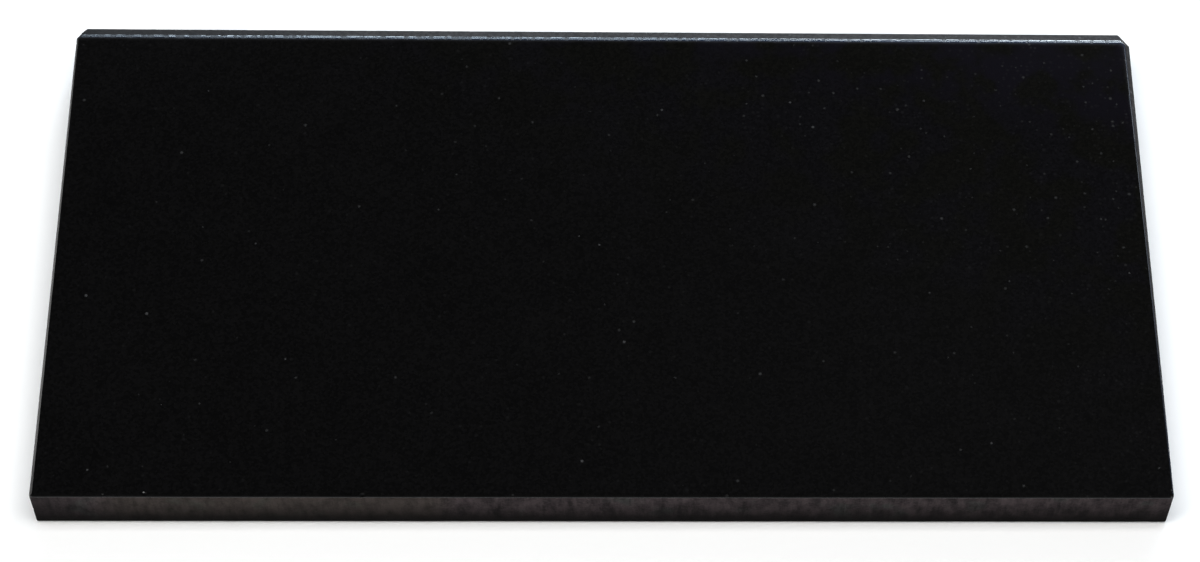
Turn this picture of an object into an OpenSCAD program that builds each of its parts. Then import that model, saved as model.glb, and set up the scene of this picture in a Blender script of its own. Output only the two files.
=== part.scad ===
// Flat headstone: one slab of black granite that lies on its bed.
// +X runs along the front edge, +Y points to the back edge and +Z is up.
// The origin is the middle of the underside.

/* [Slab] */
// Length along the front edge
slab_length = 600; // [300:10:1200]
// Depth from the front edge to the back edge
slab_depth = 300; // [150:10:800]
// Thickness from the underside to the polished face
slab_thickness = 30; // [20:1:120]

/* [Arrises round the polished face] */
// Width of the 45 degree arris along the front edge
front_arris = 2; // [0.5:0.1:4]
// Width of the left arris at the front corner
left_arris_front = 1.6; // [0.4:0.1:4]
// Width of the left arris at the back corner
left_arris_back = 1; // [0.4:0.1:4]
// Width of the right arris at the front corner
right_arris_front = 0.4; // [0.4:0.1:4]
// Width of the right arris at the back corner
right_arris_back = 2.9; // [0.4:0.1:4]

/* [Bevel along the back edge] */
// Width of the bevel, measured flat across the top
bevel_width = 6; // [2:0.5:15]
// Fall of the bevel from the polished face to the back
bevel_fall = 2; // [0.5:0.1:6]

/* [Upright corners] */
// Length that a clipped back corner takes off the back edge
clip_width = 5.3; // [2:0.1:15]
// Length that a clipped back corner takes off the side
clip_depth = 7.5; // [2:0.1:20]
// Length cut off each edge where a front corner is eased
front_ease = 0.8; // [0.2:0.1:5]

/* [Underside] */
// Width of the 45 degree arris round the underside
bed_arris = 1.5; // [0.3:0.1:4]

/* [Hidden] */

half_length = slab_length / 2;
half_depth = slab_depth / 2;
cutter_size = 2 * (slab_length + slab_depth + slab_thickness);
granite_colour = [0.06, 0.06, 0.07];

// Slope of an arris whose width changes evenly from the front edge to the back edge
function taper(front_width, back_width) = (back_width - front_width) / slab_depth;

// Removes what lies beyond the plane through a point, on the side its normal points to
module shave(point, normal) {
    tilt = acos(normal.z / norm(normal));
    turn = atan2(normal.y, normal.x);
    translate(point)
        rotate([0, tilt, turn])
            translate([-cutter_size / 2, -cutter_size / 2, 0])
                cube(cutter_size);
}

// A side of the face is dressed at 45 degrees, a little wider at one end than at the other
module side_arris(side, front_width, back_width) {
    shave(
        [side * (half_length - front_width), -half_depth, slab_thickness],
        [side, taper(front_width, back_width), 1]
    );
}

module face_arrises() {
    shave([0, -half_depth + front_arris, slab_thickness], [0, -1, 1]);
    side_arris(-1, left_arris_front, left_arris_back);
    side_arris(1, right_arris_front, right_arris_back);
}

module back_bevel() {
    shave([0, half_depth - bevel_width, slab_thickness], [0, bevel_fall, bevel_width]);
}

// A clipped corner, with the side's arris carried on over the clip
module clipped_corner(side, arris_width) {
    outward = [side * clip_depth, clip_width, 0];
    clip_end = [side * (half_length - clip_width), half_depth, 0];
    shave(clip_end, outward);
    shave(
        clip_end + [0, 0, slab_thickness - arris_width],
        outward + [0, 0, norm(outward)]
    );
}

module eased_corner(side) {
    shave([side * (half_length - front_ease), -half_depth, 0], [side, -1, 0]);
}

module bed_arrises() {
    for (side = [-1, 1]) {
        shave([side * (half_length - bed_arris), 0, 0], [side, 0, -1]);
        shave([0, side * (half_depth - bed_arris), 0], [0, side, -1]);
    }
}

module slab() {
    color(granite_colour)
        difference() {
            translate([-half_length, -half_depth, 0])
                cube([slab_length, slab_depth, slab_thickness]);
            face_arrises();
            back_bevel();
            bed_arrises();
            clipped_corner(-1, left_arris_back);
            clipped_corner(1, right_arris_back);
            for (side = [-1, 1]) eased_corner(side);
        }
}

slab();
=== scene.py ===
import math

import bmesh
import bpy
from mathutils import Euler, Matrix, Vector
from mathutils.geometry import delaunay_2d_cdt
import numpy as np


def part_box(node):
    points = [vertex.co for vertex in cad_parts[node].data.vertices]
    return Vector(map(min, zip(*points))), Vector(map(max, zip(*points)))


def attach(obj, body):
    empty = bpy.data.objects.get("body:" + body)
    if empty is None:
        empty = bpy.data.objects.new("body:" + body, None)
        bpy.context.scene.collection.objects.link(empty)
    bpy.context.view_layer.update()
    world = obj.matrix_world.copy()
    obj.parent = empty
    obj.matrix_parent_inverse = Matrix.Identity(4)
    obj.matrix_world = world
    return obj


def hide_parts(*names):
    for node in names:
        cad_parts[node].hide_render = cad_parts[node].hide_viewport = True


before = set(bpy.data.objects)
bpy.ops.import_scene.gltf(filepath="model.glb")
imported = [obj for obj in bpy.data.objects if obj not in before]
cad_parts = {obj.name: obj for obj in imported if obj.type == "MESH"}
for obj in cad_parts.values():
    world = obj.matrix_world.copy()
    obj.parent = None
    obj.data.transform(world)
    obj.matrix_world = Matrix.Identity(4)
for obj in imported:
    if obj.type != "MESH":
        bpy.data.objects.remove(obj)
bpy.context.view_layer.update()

mm = 0.001  # sizes below are in metres, and written as so many mm
scene = bpy.context.scene
slabLow, slabHigh = (Vector(corner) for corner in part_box("slab"))
left, front, back = slabLow.x, slabLow.y, slabHigh.y


# ---- camera: someone stands over the front edge and looks down on the face
cameraSetup = {
    "place": (-0.002, -0.953, 1.566),
    "tilt": 31.40,   # degrees up from straight down
    "turn": -3.94,   # degrees round the upright
    "roll": 3.56,    # degrees round the line of sight
    "lens": 99.0,
    "shift": -0.1,
}


def makeCamera(setup):
    data = bpy.data.cameras.new("camera")
    data.lens = setup["lens"]
    data.shift_x = setup["shift"]
    turned = Euler((math.radians(setup["tilt"]), 0, math.radians(setup["turn"]))).to_matrix()
    turned = turned @ Matrix.Rotation(math.radians(setup["roll"]), 3, "Z")
    camera = bpy.data.objects.new("camera", data)
    camera.matrix_world = Matrix.Translation(setup["place"]) @ turned.to_4x4()
    scene.collection.objects.link(camera)
    scene.camera = camera
    print("camera set")


# ---- node graphs: a wire is one output socket, and arithmetic on wires adds Math nodes
class Wire:
    def __init__(self, graph, node, output=0):
        self.graph = graph
        self.node = node
        self.socket = node.outputs[output]

    def other(self, output):  # another output of the same node
        return Wire(self.graph, self.node, output)

    def math(self, operation, *values):
        return self.graph.add("ShaderNodeMath", {"operation": operation}, dict(enumerate((self, *values))))

    def __add__(self, value):
        return self.math("ADD", value)

    def __sub__(self, value):
        return self.math("SUBTRACT", value)

    def __rsub__(self, value):
        return (self * -1.0) + value

    def __mul__(self, value):
        return self.math("MULTIPLY", value)

    def __truediv__(self, value):
        return self.math("DIVIDE", value)

    def __rtruediv__(self, value):
        return (self ** -1.0) * value

    def __pow__(self, value):
        return self.math("POWER", value)

    def __gt__(self, value):
        return self.math("GREATER_THAN", value)

    def least(self, value):
        return self.math("MAXIMUM", value)

    def most(self, value):
        return self.math("MINIMUM", value)


class Graph:
    def __init__(self, tree):
        self.tree = tree
        tree.nodes.clear()

    def add(self, kind, settings=None, sockets=None, output=0):
        node = self.tree.nodes.new(kind)
        for name, value in (settings or {}).items():
            setattr(node, name, value)
        for name, value in (sockets or {}).items():
            if isinstance(value, Wire):
                self.tree.links.new(value.socket, node.inputs[name])
            else:
                node.inputs[name].default_value = value
        return None if output is None else Wire(self, node, output)

    def vector(self, operation, *values):
        return self.add("ShaderNodeVectorMath", {"operation": operation}, dict(enumerate(values)))

    def ramp(self, value, low, high, atLow=0.0, atHigh=1.0):  # eases from one value to another
        return self.add(
            "ShaderNodeMapRange",
            {"interpolation_type": "SMOOTHSTEP"},
            {"Value": value, "From Min": low, "From Max": high, "To Min": atLow, "To Max": atHigh},
        )

    def noise(self, place, size, detail=2.0, roughness=0.5):  # 0 to 1, with features of about this size
        sockets = {"Vector": place, "Scale": 1.0 / size, "Detail": detail, "Roughness": roughness}
        return self.add("ShaderNodeTexNoise", {}, sockets)

    def cells(self, place, size):  # distance to the nearest cell's middle, as a share of the size
        return self.add("ShaderNodeTexVoronoi", {}, {"Vector": place, "Scale": 1.0 / size})

    def mixColour(self, share, first, second):
        settings = {"data_type": "RGBA"}
        return self.add("ShaderNodeMix", settings, {0: share, 6: first, 7: second}, output=2)

    def attribute(self, name):
        if self.tree.type == "GEOMETRY":
            return self.add("GeometryNodeInputNamedAttribute", {"data_type": "FLOAT"}, {"Name": name})
        return self.add("ShaderNodeAttribute", {"attribute_name": name}, output="Fac")

    def parts(self, vector):  # the three values of a vector or a colour
        split = self.add("ShaderNodeSeparateXYZ", {}, {0: vector})
        return split, split.other(1), split.other(2)


def newMaterial(name):
    material = bpy.data.materials.new(name)
    material.use_nodes = True
    return material, Graph(material.node_tree)


# ---- studio: a pale floor, a dark ceiling with a large soft box, fills at the sides and a long
# window behind, which the rolled back edge mirrors
studio = {
    "floorSize": 80.0,
    "floorShown": (0.96, 0.96, 0.96),
    "floorBounce": (0.36, 0.35, 0.34),
    "floorFade": (1.1, 2.9),   # where the lit floor turns into the colour of the horizon
    "horizon": 0.94,
    "ceiling": (0.031, 0.050),   # overhead, to the left and to the right
    "skyShare": 0.35,      # of the world's brightness, what it adds as light
    "skyRise": (0.05, 0.50),     # heights between which the horizon turns into the ceiling
    "ceilingTurn": (-0.13, 0.17),   # where the ceiling's left part turns into its right part
    "backGlow": 1.35,      # bluish light high up behind, fading upward and to the left
    "glowColour": (0.28, 0.50, 1, 1),
    "glowSide": (0.20, 0.65),    # how far round to the back it begins and is full
    "glowRise": (0.46, 0.60),
    "glowFall": (0.66, 0.82),
    "softBoxes": {
        # name: place, width and height, brightness, colour
        "overhead": ((0.0, -0.30, 2.6), (2.8, 1.4), 5.7, (1.0, 1.0, 0.99)),
        "window": ((0.85, 2.5, 1.32), (1.3, 0.20), 49.0, (0.80, 0.91, 1.0)),
        "windowMiddle": ((-0.20, 2.5, 1.33), (0.8, 0.22), 23.5, (0.72, 0.87, 1.0)),
        "windowEnd": ((-0.76, 2.5, 1.37), (0.32, 0.28), 10.3, (0.72, 0.87, 1.0)),
        "windowTurn": ((1.51, 1.68, 2.29), (0.5, 0.4), 5.0, (0.86, 0.94, 1.0)),
        "fillLeft": ((-3.0, -1.2, 1.6), (1.6, 1.6), 4.2, (1.0, 0.99, 0.98)),
        "fillRight": ((3.0, -0.8, 1.6), (1.6, 1.6), 0.8, (1.0, 0.99, 0.98)),
    },
}

skyColour = (0.97, 0.98, 1.0)


def seenDirectly(g):
    # 1 for what the camera sees, also in a gloss or through glass, and 0 for light on its way round
    path = g.add("ShaderNodeLightPath", output="Is Camera Ray")
    return (path + path.other("Is Glossy Ray") + path.other("Is Transmission Ray")).most(1.0)


def skyShare(g):
    return seenDirectly(g) * (1.0 - studio["skyShare"]) + studio["skyShare"]


def makeFloor():
    bm = bmesh.new()
    bmesh.ops.create_grid(bm, x_segments=1, y_segments=1, size=studio["floorSize"] / 2)
    bmesh.ops.translate(bm, vec=(0, 0, slabLow.z - 0.05 * mm), verts=bm.verts)
    mesh = bpy.data.meshes.new("floor")
    bm.to_mesh(mesh)
    bm.free()
    floor = bpy.data.objects.new("floor", mesh)
    scene.collection.objects.link(floor)
    material, g = newMaterial("paleFloor")
    shown = g.add("ShaderNodeBsdfDiffuse", {}, {"Color": (*studio["floorShown"], 1)})
    bounce = g.add("ShaderNodeBsdfDiffuse", {}, {"Color": (*studio["floorBounce"], 1)})
    lit = g.add("ShaderNodeMixShader", {}, {0: seenDirectly(g), 1: bounce, 2: shown})
    place = g.add("ShaderNodeTexCoord", output="Object")
    reach = g.add("ShaderNodeVectorMath", {"operation": "LENGTH"}, {0: place}, output="Value")
    strength = skyShare(g) * studio["horizon"]
    far = g.add("ShaderNodeEmission", {}, {"Color": (*skyColour, 1), "Strength": strength})
    surface = g.add("ShaderNodeMixShader", {}, {0: g.ramp(reach, *studio["floorFade"]), 1: lit, 2: far})
    g.add("ShaderNodeOutputMaterial", {}, {"Surface": surface}, output=None)
    mesh.materials.append(material)


def makeSoftBox(name, place, size, brightness, colour):
    data = bpy.data.lights.new(name, "AREA")
    data.shape = "RECTANGLE"
    data.size, data.size_y = size
    data.energy = brightness * math.pi * size[0] * size[1]
    data.color = colour
    box = bpy.data.objects.new(name, data)
    aim = Vector((0, 0, slabHigh.z)) - Vector(place)
    box.matrix_world = Matrix.Translation(place) @ aim.to_track_quat("-Z", "Y").to_matrix().to_4x4()
    scene.collection.objects.link(box)


def makeWorld():
    world = bpy.data.worlds.new("studio")
    scene.world = world
    world.use_nodes = True
    g = Graph(world.node_tree)
    x, y, z = g.parts(g.add("ShaderNodeTexCoord", output="Generated"))
    ceiling = g.ramp(x, *studio["ceilingTurn"], *studio["ceiling"])
    sky = g.ramp(z, *studio["skyRise"], studio["horizon"], ceiling)
    behind = g.ramp(x * 0.6 + y * 0.8, *studio["glowSide"])
    glow = behind * g.ramp(z, *studio["glowRise"]) * g.ramp(z, *studio["glowFall"], 1.0, 0.0)
    strength = (sky + glow * studio["backGlow"]) * skyShare(g)
    colour = g.mixColour(glow, (*skyColour, 1), studio["glowColour"])
    background = g.add("ShaderNodeBackground", {}, {"Color": colour, "Strength": strength})
    g.add("ShaderNodeOutputWorld", {}, {"Surface": background}, output=None)


def makeStudio():
    makeFloor()
    makeWorld()
    for name, (place, size, brightness, colour) in studio["softBoxes"].items():
        makeSoftBox(name, place, size, brightness, colour)
    print("studio set")


# ---- granite: one stone, and four ways in which its surfaces are finished
stone = {
    "grainSize": 1.3 * mm,
    # cell size, largest radius, and share of the cells that hold such a crystal
    "faintCrystals": (2.7 * mm, 1.5 * mm, 0.38),
    "brightCrystals": (5.6 * mm, 1.2 * mm, 0.029),
    "cloudSize": 24 * mm,
}

# where a mark on the stone fades in or out, as two places along x, y or z
stoneMarks = {
    # a painted navy reflection along the back of the face
    "navyReflection": (back - 18 * mm, back + 30 * mm),       # on the face, also with a share of x
    "bevel": (back - 20 * mm, back - 4 * mm),
    # painted shade on the left part of the back bevel, darker still at its left corner
    "bevelShade": (left + 100 * mm, left + 205 * mm),
    "cornerShade": (left + 9 * mm, left + 15 * mm),
    # a painted highlight on the left arris
    "litLeftArris": (left + 2 * mm, left + 3 * mm),
    "arrisBack": (front + 170 * mm, front + 290 * mm),
    "arrisFront": (front + 5 * mm, front + 40 * mm),
    "darkEnd": (left + 18 * mm, left + 46 * mm),    # on the upright sides, as the rest are
    "dustStart": (left + 35 * mm, left + 60 * mm),
    "dustEnd": (left + 210 * mm, left + 230 * mm),
    # painted shade at the foot of the upright sides
    "footShade": (3.5 * mm, 29 * mm),
}


def stonePattern(g):
    # crystals run through the whole block, so every finish cuts the same ones
    place = g.add("ShaderNodeTexCoord", output="Object")
    sway = g.noise(place, 1.4 * mm, detail=2.0).other("Color")
    bent = g.vector("MULTIPLY_ADD", sway, (0.4 * mm,) * 3, place)
    grain, _, _ = g.parts(g.cells(bent, stone["grainSize"]).other("Color"))
    cloud = g.noise(place, stone["cloudSize"], detail=3.0)
    x, y, _ = g.parts(place)
    # more crystals toward the back right: partly random, partly painted glints where the light falls
    livelyAndLit = g.ramp(x * 0.8 + y * 0.7 + cloud * 0.6, 0.34, 0.72, 0.12, 1.6)
    faint = crystals(g, bent, *stone["faintCrystals"], livelyAndLit)
    bright = crystals(g, bent, *stone["brightCrystals"], livelyAndLit ** 0.5)
    return place, grain, faint, bright, cloud


def crystals(g, place, cellSize, radius, share, livelyAndLit):
    # soft-edged spots of mixed size and brightness, more of them where the stone is lively and where
    # painted glints stand for light falling toward the back right
    distance = g.cells(place, cellSize)
    size, chance, brightness = g.parts(distance.other("Color"))
    edge = (size * 0.6 + 0.4) * (radius / cellSize)
    inside = g.ramp(distance, edge * 0.25, edge, 1.0, 0.0)
    return inside * (chance > 1.0 - livelyAndLit * share) * (brightness ** 3.5 * 0.92 + 0.08)


def finishStone(g, colour, roughness, bumpHeight, bumpDepth, specular=0.5):
    bump = g.add("ShaderNodeBump", {}, {"Height": bumpHeight, "Distance": bumpDepth})
    sockets = {"Base Color": colour, "Roughness": roughness, "Normal": bump}
    constants = {"IOR": 1.55, "Specular IOR Level": specular}
    surface = g.add("ShaderNodeBsdfPrincipled", {}, sockets | constants)
    g.add("ShaderNodeOutputMaterial", {}, {"Surface": surface}, output=None)


def polishedGranite():
    # mirror polish, duller where it rolls over at the back, and a faint painted navy and olive reflection
    # toward there
    material, g = newMaterial("polishedGranite")
    place, grain, faint, bright, cloud = stonePattern(g)
    tone = g.ramp(grain + cloud * 0.6, 0.2, 1.5)
    x, y, _ = g.parts(place)
    # toward the back right, a painted reflection cast of navy and olive, mottled by the stone's cloud
    tint = (g.ramp(cloud, 0.42, 0.58) - 0.5) * g.ramp(x * 0.6 + y * 1.2, 0.0, 0.22) + 0.5
    low = g.mixColour(tint, (0.0010, 0.0010, 0.0007, 1), (0.0009, 0.0008, 0.0012, 1))
    high = g.mixColour(tint, (0.0027, 0.0026, 0.0020, 1), (0.0026, 0.0024, 0.0032, 1))
    # painted navy reflection near the back, lighter than the black face
    navyReflection = g.ramp(cloud, 0.40, 0.58) * g.ramp(x * 0.25 + y, *stoneMarks["navyReflection"])
    body = g.mixColour(navyReflection, g.mixColour(tone, low, high), (0.0024, 0.0020, 0.0038, 1))
    flecked = g.mixColour(faint, body, (0.028, 0.028, 0.028, 1))
    colour = g.mixColour(bright, flecked, (0.29, 0.29, 0.295, 1))
    smear = g.noise(place, 60 * mm, detail=4.0, roughness=0.6)
    scuff = g.noise(place, 5 * mm, detail=3.0, roughness=0.65)
    rollDistance = g.attribute("rollDistance")
    dull = g.ramp(rollDistance, 0.5 * mm, 5.0 * mm, 1.0, 0.0)
    across = g.add("ShaderNodeMapping", {}, {"Vector": place, "Scale": (1.0, 0.25, 0.25)})
    beads = g.noise(across, 4.0 * mm, detail=3.0, roughness=0.6) - x * 0.18
    rough = g.ramp(rollDistance, 1.2 * mm, 1.8 * mm, 1.0, 0.0) * g.ramp(beads, 0.46, 0.60, 0.0, 0.27)
    roughness = g.ramp(smear, 0.35, 0.75, 0.045, 0.085) + bright * 0.1
    roughness = roughness + dull * g.ramp(scuff, 0.35, 0.70, 0.01, 0.08) + rough
    relief = scuff * dull * 2.0 - bright - grain * 0.3
    finishStone(g, colour, roughness, relief, 0.005 * mm)
    return material


def groundGranite():
    # arrises and bevel, ground with a fine stone and left matt, with painted shade on the left of the back
    # bevel and a painted highlight on the left arris
    material, g = newMaterial("groundGranite")
    place, grain, faint, bright, cloud = stonePattern(g)
    fine = g.noise(place, 0.8 * mm, detail=3.0, roughness=0.7)
    tone = g.ramp(grain * 0.7 + cloud * 0.4 + fine * 0.5, 0.3, 1.3)
    body = g.mixColour(tone, (0.010, 0.009, 0.009, 1), (0.034, 0.032, 0.032, 1))
    flecked = g.mixColour(faint, body, (0.09, 0.09, 0.095, 1))
    speckled = g.mixColour(bright, flecked, (0.26, 0.26, 0.27, 1))
    x, y, _ = g.parts(place)
    # painted shade on the left part of the back bevel, darker still at its left corner
    paintedShade = g.ramp(x + cloud * 60 * mm, *stoneMarks["bevelShade"], 0.75, 0.0)
    paintedShade = paintedShade + g.ramp(x, *stoneMarks["cornerShade"], 0.2, 0.0)
    paintedShade = paintedShade * g.ramp(y, *stoneMarks["bevel"])
    bevelShaded = g.mixColour(paintedShade, speckled, (0.0035, 0.003, 0.003, 1))
    # a painted highlight lightens the left arris, most along its middle
    pale = g.ramp(x, *stoneMarks["litLeftArris"], 1.0, 0.0) * g.ramp(y, *stoneMarks["arrisBack"], 1.0, 0.6)
    pale = pale * g.ramp(y, *stoneMarks["arrisFront"], 0.4, 1.0)
    colour = g.mixColour(pale, bevelShaded, (0.10, 0.098, 0.096, 1))
    roughness = g.ramp(fine, 0.3, 0.8, 0.50, 0.68)
    finishStone(g, colour, roughness, fine + grain * 0.4, 0.03 * mm, specular=0.12)
    return material


def sawnGranite():
    # upright sides, sawn and rubbed down, mostly pinkish with a few greenish patches, with a film of
    # dust on the left and painted shade darkening the foot next to the ground
    material, g = newMaterial("sawnGranite")
    place, grain, faint, bright, cloud = stonePattern(g)
    fine = g.noise(place, 1.1 * mm, detail=3.0, roughness=0.65)
    tall = g.add("ShaderNodeMapping", {}, {"Vector": place, "Scale": (1.0, 1.0, 0.5)})
    blotch = g.noise(tall, 5.5 * mm, detail=4.0, roughness=0.58)
    upright = g.add("ShaderNodeMapping", {}, {"Vector": place, "Scale": (1.0, 1.0, 0.12)})
    streak = g.noise(upright, 1.8 * mm, detail=3.0, roughness=0.6)
    x, _, z = g.parts(place)
    tone = g.ramp(grain * 0.2 + streak * 0.6 + fine * 0.4 + blotch * 1.4, 0.78, 1.80)
    tone = tone * g.ramp(x + cloud * 20 * mm, *stoneMarks["darkEnd"], 0.55, 1.0)
    tint = g.ramp(g.noise(place, 16 * mm, detail=2.0), 0.56, 0.68)
    pale = g.mixColour(tint, (0.114, 0.0915, 0.0975, 1), (0.099, 0.100, 0.098, 1))
    body = g.mixColour(tone, (0.015, 0.0130, 0.0136, 1), pale)
    flecked = g.mixColour(faint, body, (0.15, 0.14, 0.138, 1))
    speckled = g.mixColour(bright, flecked, (0.26, 0.245, 0.24, 1))
    film = g.ramp(x + cloud * 20 * mm, *stoneMarks["dustStart"])
    film = film * g.ramp(x + cloud * 10 * mm, *stoneMarks["dustEnd"], 1.0, 0.0)
    dusty = g.mixColour(film * (blotch * 0.5 + 0.1), speckled, (0.090, 0.079, 0.060, 1))
    # painted shade at the foot, darkest where the side meets the ground
    footShade = g.ramp(z + blotch * 4 * mm, *stoneMarks["footShade"], 0.99, 0.0)
    colour = g.mixColour(footShade, dusty, (0.0012, 0.001, 0.001, 1))
    roughness = g.ramp(fine, 0.3, 0.8, 0.68, 0.85)
    finishStone(g, colour, roughness, fine * 0.6 + streak * 0.6 + grain * 0.3, 0.10 * mm, specular=0.03)
    return material


def sawnBedGranite():
    # underside, straight from the saw
    material, g = newMaterial("bedGranite")
    place, grain, faint, bright, cloud = stonePattern(g)
    fine = g.noise(place, 1.4 * mm, detail=4.0, roughness=0.7)
    tone = g.ramp(grain * 0.6 + cloud * 0.8 + fine * 0.5, 0.5, 1.6)
    body = g.mixColour(tone, (0.045, 0.043, 0.042, 1), (0.095, 0.092, 0.088, 1))
    flecked = g.mixColour(faint * 0.8, body, (0.15, 0.145, 0.14, 1))
    colour = g.mixColour(bright, flecked, (0.28, 0.27, 0.26, 1))
    roughness = g.ramp(fine, 0.3, 0.8, 0.70, 0.88)
    finishStone(g, colour, roughness, fine + grain * 0.3, 0.12 * mm, specular=0.25)
    return material


# ---- slab: the CAD facets, meshed closely where their edges are softened and dressed
slabMesh = {
    "finePitch": 0.95 * mm,      # spacing of points along the arrises and the bevel
    "bedPitch": 1.9 * mm,        # the same round the underside
    "facePitch": 8.0 * mm,       # coarsest spacing on the polished face
    "sidePitch": 1.9 * mm,       # on an upright side
    "bedCoarse": 4.0 * mm,       # on the underside
    "edgeRow": 0.25 * mm,        # a row of points this far in from every edge
    "rollRows": tuple(row * mm for row in (0.3, 0.6, 0.9, 1.4, 2.1, 3.0)),  # from a rolled edge
    "polishOver": 1.25 * mm,     # how far the polish runs on over that edge
    "cornerRoll": 170 * mm,      # how far the roll runs on along the right side, tapering off
    "cornerDrift": 2.6 * mm,     # how far it has left that side by then
    "edgeBand": 8 * mm,          # points this near a side are drawn inward from it
    "backBand": 9 * mm,          # polish runs over only this near the back
}

polished, ground, sawn, bed = range(4)  # finishes, in the order of the material slots


def finishOf(normal):
    if normal.z > 0.999 or (normal.y < -0.25 and normal.z > 0.25):
        return polished
    if normal.z > 0.25:
        return ground
    return sawn if normal.z > -0.99 else bed


def cadFacets():
    # the CAD mesh, merged back to its whole flat facets
    bm = bmesh.new()
    bm.from_mesh(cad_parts["slab"].data)
    bmesh.ops.remove_doubles(bm, verts=bm.verts, dist=0.01 * mm)
    bmesh.ops.dissolve_limit(bm, angle_limit=math.radians(0.5), verts=bm.verts, edges=bm.edges)
    bm.verts.index_update()
    return bm


def rollRun(edge):
    # the line that the polish rolls over: the edge between face and back bevel, the edge at the
    # right-hand clipped corner, and from there a line that leaves the right side little by little
    lower, upper = sorted((face.normal.z for face in edge.link_faces))
    if upper < 0.999:
        return None
    near, far = sorted((vert.co for vert in edge.verts), key=lambda place: place.y)
    if lower > 0.9:
        return near, far
    if near.x < 0 or far.y < 0:
        return None
    share = slabMesh["cornerRoll"] / (far - near).length
    drift = Vector((slabMesh["cornerDrift"], 0, 0))
    return (far.lerp(near, share) + drift, far) if share < 1 else (near, far)


def isCrisp(edge):
    # the edge between the face and the front arris, both polished
    return all(finishOf(face.normal) == polished for face in edge.link_faces)


def facetPoints(corners, rows, pitch, coarsest):
    # rows of points along the edges of a convex outline, then a grid that coarsens further in
    along = np.roll(corners, -1, axis=0) - corners
    lengths = np.linalg.norm(along, axis=1)
    along = along / lengths[:, None]
    inward = np.stack([-along[:, 1], along[:, 0]], axis=1)
    gapsOf = lambda points: ((points[:, None, :] - corners) * inward).sum(axis=2)
    found = []
    for side, distances in enumerate(rows):
        count = max(1, round(lengths[side] / pitch))
        for distance in distances:
            steps = np.linspace(0, lengths[side], count + 1)[:, None]
            row = corners[side] + steps * along[side] + inward[side] * distance
            others = np.delete(gapsOf(row), side, axis=1)
            found.append(row[others.min(axis=1) > max(distance, rows[side - 1][0]) * 1.2])
    margins = np.array([distances[-1] for distances in rows])
    low, high = corners.min(axis=0), corners.max(axis=0)
    start, step = 0.6 * pitch, pitch
    while True:
        last = step * 2 > coarsest
        lines = np.arange(low[1], high[1], step * 0.866)
        x, y = np.meshgrid(np.arange(low[0], high[0], step), lines)
        x = x + np.where(np.arange(len(lines)) % 2, step / 2, 0.0)[:, None]
        points = np.stack([x.ravel(), y.ravel()], axis=1)
        gaps = (gapsOf(points) - margins).min(axis=1)
        end = np.inf if last else start + 3 * step
        found.append(points[(gaps >= start) & (gaps < end)])
        if last:
            return np.concatenate(found)
        start, step = end, step * 2


def meshFacets(bm):
    # triangulates every facet between points that neighbouring facets share
    points = [vert.co.copy() for vert in bm.verts]
    chains = {}
    for edge in bm.edges:
        first, second = edge.verts
        low = max(first.co.z, second.co.z) < slabLow.z + 4 * mm
        count = max(1, round(edge.calc_length() / slabMesh["bedPitch" if low else "finePitch"]))
        between = range(len(points), len(points) + count - 1)
        points += [first.co.lerp(second.co, step / count) for step in range(1, count)]
        chains[first.index, second.index] = [first.index, *between]
        chains[second.index, first.index] = [second.index, *reversed(between)]
    pitches = {
        polished: (slabMesh["finePitch"], slabMesh["facePitch"]),
        ground: (slabMesh["finePitch"], slabMesh["finePitch"]),
        sawn: (slabMesh["finePitch"], slabMesh["sidePitch"]),
        bed: (slabMesh["bedPitch"], slabMesh["bedCoarse"]),
    }
    triangles, finishes = [], []
    for face in bm.faces:
        finish = finishOf(face.normal)
        outline, rows = [], []
        for corner in face.loops:
            outline += chains[corner.vert.index, corner.link_loop_next.vert.index]
            rows.append(slabMesh["rollRows"] if rollRun(corner.edge) else (slabMesh["edgeRow"],))
        longest = max(face.edges, key=lambda edge: edge.calc_length())
        across = (longest.verts[1].co - longest.verts[0].co).normalized()
        upward = face.normal.cross(across)
        origin = face.calc_center_median()
        flatten = lambda point: ((point - origin).dot(across), (point - origin).dot(upward))
        corners = np.array([flatten(corner.vert.co) for corner in face.loops])
        inside = facetPoints(corners, rows, *pitches[finish])
        numbers = outline + list(range(len(points), len(points) + len(inside)))
        flat = [Vector(flatten(points[index])) / mm for index in outline]
        flat += [Vector(point) / mm for point in inside]
        points += [origin + across * point[0] + upward * point[1] for point in inside]
        ring = list(range(len(outline)))
        places, _, faces, sources, _, _ = delaunay_2d_cdt(flat, [], [ring], 1, 1e-6)
        for triangle in faces:
            a, b, c = (places[index] for index in triangle)
            turned = (b - a).cross(c - a) < 0
            corner = [numbers[sources[index][0]] for index in triangle]
            triangles.append(corner[::-1] if turned else corner)
            finishes.append(finish)
    return points, triangles, finishes


def distanceTo(points, runs):
    # how far each point is from the nearest of these straight runs
    nearest = np.full(len(points), np.inf)
    for start, end in runs:
        start, run = np.array(start), np.array(end - start)
        share = np.clip((points - start) @ run / (run @ run), 0, 1)
        nearest = np.minimum(nearest, np.linalg.norm(points - start - share[:, None] * run, axis=1))
    return nearest


# ---- dressing: what the saw, the grinder and handling leave on the stone, always cut inward
dressing = {
    # input of the node tree: value
    "Seed": 7,
    "Edge softness": 0.05 * mm,  # how far an edge is worn back
    "Softness reach": 0.25 * mm,
    "Roll reach": 3.4 * mm,      # the polish rolls over the edge between face and bevel
    "Roll slope": 0.162,         # of the face where it meets that edge
    "Edge reach": 3.0 * mm,      # how far other wear reaches from an edge
    "Wander": 0.12 * mm,         # how far an arris strays from its line
    "Wander length": 22 * mm,
    "Chip spacing": 7.0 * mm,
    "Chip share": 0.16,
    "Chip radius": 1.5 * mm,
    "Chip depth": 0.45 * mm,
    "Saw depth": 0.06 * mm,      # relief of the upright sides
    "Bed depth": 0.14 * mm,      # relief of the underside
}


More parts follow.
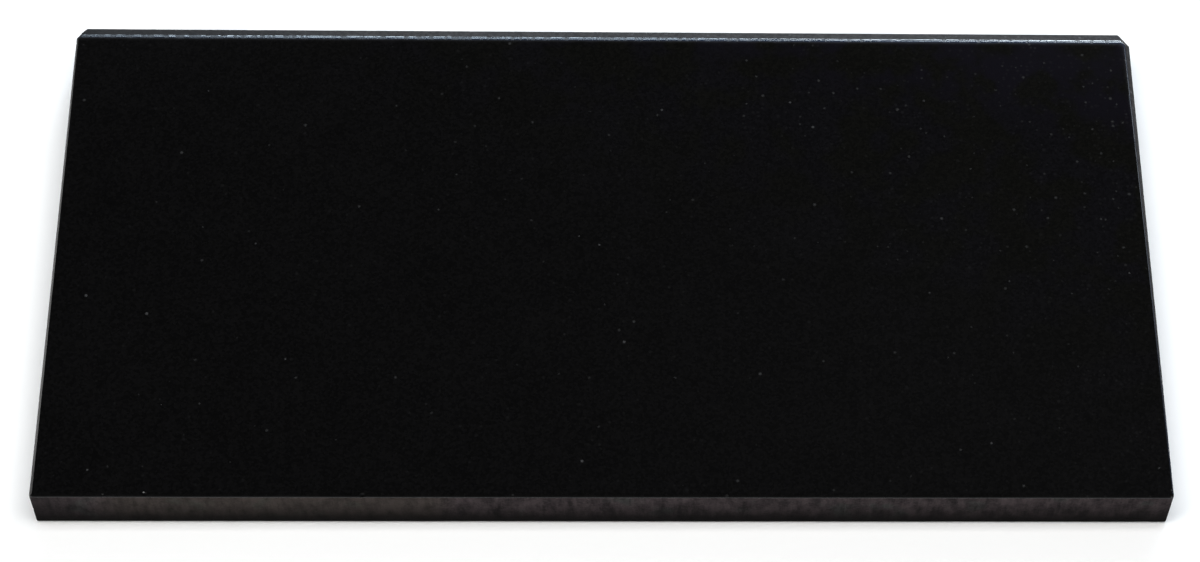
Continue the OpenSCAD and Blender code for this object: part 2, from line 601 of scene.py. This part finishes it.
def dressingTree(materials):
    tree = bpy.data.node_groups.new("stoneDressing", "GeometryNodeTree")
    g = Graph(tree)
    tree.interface.new_socket(name="Geometry", in_out="INPUT", socket_type="NodeSocketGeometry")
    for name, value in dressing.items():
        kind = "NodeSocketInt" if isinstance(value, int) else "NodeSocketFloat"
        tree.interface.new_socket(name=name, in_out="INPUT", socket_type=kind)
    tree.interface.new_socket(name="Geometry", in_out="OUTPUT", socket_type="NodeSocketGeometry")
    entry = g.add("NodeGroupInput", output="Geometry")
    size = {name: entry.other(name) for name in dressing}
    place = g.add("GeometryNodeInputPosition")
    normal = g.add("GeometryNodeInputNormal")
    shift = g.add("ShaderNodeCombineXYZ", {}, {0: size["Seed"] * 0.37})
    moved = g.vector("ADD", place, shift)
    edgeDistance = g.attribute("edgeDistance")
    normalZ = g.parts(normal)[2]
    nearEdge = g.ramp(edgeDistance, 0.0, size["Edge reach"], 1.0, 0.0)

    worn = (1.0 - g.attribute("softDistance") / size["Softness reach"]).least(0.0) * size["Edge softness"]
    rollReach = size["Roll reach"] * (g.noise(moved, 8 * mm, detail=2.0) * 0.4 + 0.8)
    rolled = (1.0 - g.attribute("rollDistance") / rollReach).least(0.0) ** 3.0
    rolled = rolled * rollReach * size["Roll slope"] / 3.0

    steep = g.vector("MULTIPLY", moved, (1.0, 1.0, 7.0))
    stray = g.noise(steep, size["Wander length"], detail=3.0, roughness=0.62) * nearEdge * size["Wander"]

    chipPlace = g.vector("ADD", moved, (0.013, 0.029, 0.005))
    chip = g.cells(chipPlace, size["Chip spacing"])
    chipSize, chipChance, _ = g.parts(chip.other("Color"))
    ragged = g.noise(moved, 1.1 * mm, detail=2.0) * 0.7 + 0.65
    radius = size["Chip radius"] * (chipSize * 0.8 + 0.2) * ragged
    bowl = g.ramp(chip * size["Chip spacing"] / radius, 0.25, 1.0, 1.0, 0.0)
    flake = bowl * (chipChance > 1.0 - size["Chip share"]) * chipSize * size["Chip depth"] * nearEdge

    upright = g.ramp(normalZ.math("ABSOLUTE"), 0.2, 0.5, 1.0, 0.0)
    streak = g.noise(g.vector("MULTIPLY", moved, (1.0, 1.0, 0.1)), 3.0 * mm, detail=3.0, roughness=0.6)
    rough = g.noise(moved, 2.6 * mm, detail=3.0, roughness=0.6)
    sawn = upright * (streak * 0.6 + rough * 0.6) * size["Saw depth"]

    under = g.ramp(normalZ, -0.9, -0.6, 1.0, 0.0)
    pivot = g.vector("MULTIPLY", g.vector("SUBTRACT", place, (0.2, -1.6, 0.0)), (1.0, 1.0, 0.0))
    reach = g.add("ShaderNodeVectorMath", {"operation": "LENGTH"}, {0: pivot}, output="Value")
    arcs = (reach * (2 * math.pi / (9 * mm))).math("SINE") * 0.5 + 0.5
    bedRelief = under * (arcs * 0.35 + rough * 0.65) * size["Bed depth"]

    sunk = worn + rolled + flake + sawn + bedRelief
    inward = g.add("GeometryNodeInputNamedAttribute", {"data_type": "FLOAT_VECTOR"}, {"Name": "inward"})
    sink = g.add("ShaderNodeVectorMath", {"operation": "SCALE"}, {0: normal, "Scale": sunk * -1.0})
    sway = g.add("ShaderNodeVectorMath", {"operation": "SCALE"}, {0: inward, "Scale": stray})
    shape = g.add("GeometryNodeSetPosition", {}, {"Geometry": entry, "Offset": g.vector("ADD", sink, sway)})
    shape = g.add("GeometryNodeRealizeInstances", {}, {"Geometry": shape})
    finish = g.add("GeometryNodeInputNamedAttribute", {"data_type": "INT"}, {"Name": "finish"})
    for number, material in enumerate(materials):
        settings = {"data_type": "INT", "operation": "EQUAL"}
        chosen = g.add("FunctionNodeCompare", settings, {2: finish, 3: number})
        sockets = {"Geometry": shape, "Selection": chosen, "Material": material}
        shape = g.add("GeometryNodeSetMaterial", {}, sockets)
    g.add("NodeGroupOutput", {}, {"Geometry": shape}, output=None)
    return tree


def dress(piece, materials):
    # sets the tree's inputs, bakes its result to a plain mesh and takes the modifier off
    for material in materials:
        piece.data.materials.append(material)  # or the tree would put an empty slot before them
    tree = dressingTree(materials)
    modifier = piece.modifiers.new("dressing", "NODES")
    modifier.node_group = tree
    for item in tree.interface.items_tree:
        if item.in_out == "INPUT" and item.name in dressing:
            modifier[item.identifier] = dressing[item.name]
    mesh = bpy.data.meshes.new_from_object(piece.evaluated_get(bpy.context.evaluated_depsgraph_get()))
    piece.modifiers.remove(modifier)
    piece.data = mesh


def makeSlab():
    bm = cadFacets()
    points, triangles, finishes = meshFacets(bm)
    mesh = bpy.data.meshes.new("granite_slab")
    mesh.from_pydata(points, [], triangles)
    places = np.array(points)
    nearSide = np.abs(places) > np.array(slabHigh) - slabMesh["edgeBand"]
    inward = np.array([-1.0, -1.0, 0.0]) * np.sign(places) * nearSide
    inward /= np.linalg.norm(inward, axis=1)[:, None].clip(1)
    ends = lambda edge: [vert.co for vert in edge.verts]
    values = {
        "edgeDistance": distanceTo(places, [ends(edge) for edge in bm.edges]),
        "softDistance": distanceTo(places, [ends(edge) for edge in bm.edges if not isCrisp(edge)]),
        "rollDistance": distanceTo(places, [run for run in map(rollRun, bm.edges) if run]),
    }
    for number, triangle in enumerate(triangles):
        atBack = places[triangle, 1].min() > back - slabMesh["backBand"]
        if atBack and values["rollDistance"][triangle].max() < slabMesh["polishOver"]:
            finishes[number] = polished
    for name, distances in values.items():
        mesh.attributes.new(name, "FLOAT", "POINT").data.foreach_set("value", distances)
    mesh.attributes.new("inward", "FLOAT_VECTOR", "POINT").data.foreach_set("vector", inward.ravel())
    mesh.attributes.new("finish", "INT", "FACE").data.foreach_set("value", finishes)
    bm.free()
    piece = bpy.data.objects.new("granite_slab", mesh)
    scene.collection.objects.link(piece)
    print("slab meshed:", len(triangles), "triangles")
    dress(piece, [polishedGranite(), groundGranite(), sawnGranite(), sawnBedGranite()])
    shadeSlab(piece.data)
    print("slab dressed:", len(piece.data.materials), "finishes")
    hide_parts("slab")
    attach(piece, "root")


def shadeSlab(mesh):
    # what is still exactly level stays flat, and the rest is smooth between sharp edges
    mesh.polygons.foreach_set("use_smooth", [polygon.normal.z < 0.999995 for polygon in mesh.polygons])
    mesh.set_sharp_from_angle(angle=math.radians(40))


makeCamera(cameraSetup)
makeStudio()
makeSlab()
scene.view_settings.view_transform = "Standard"
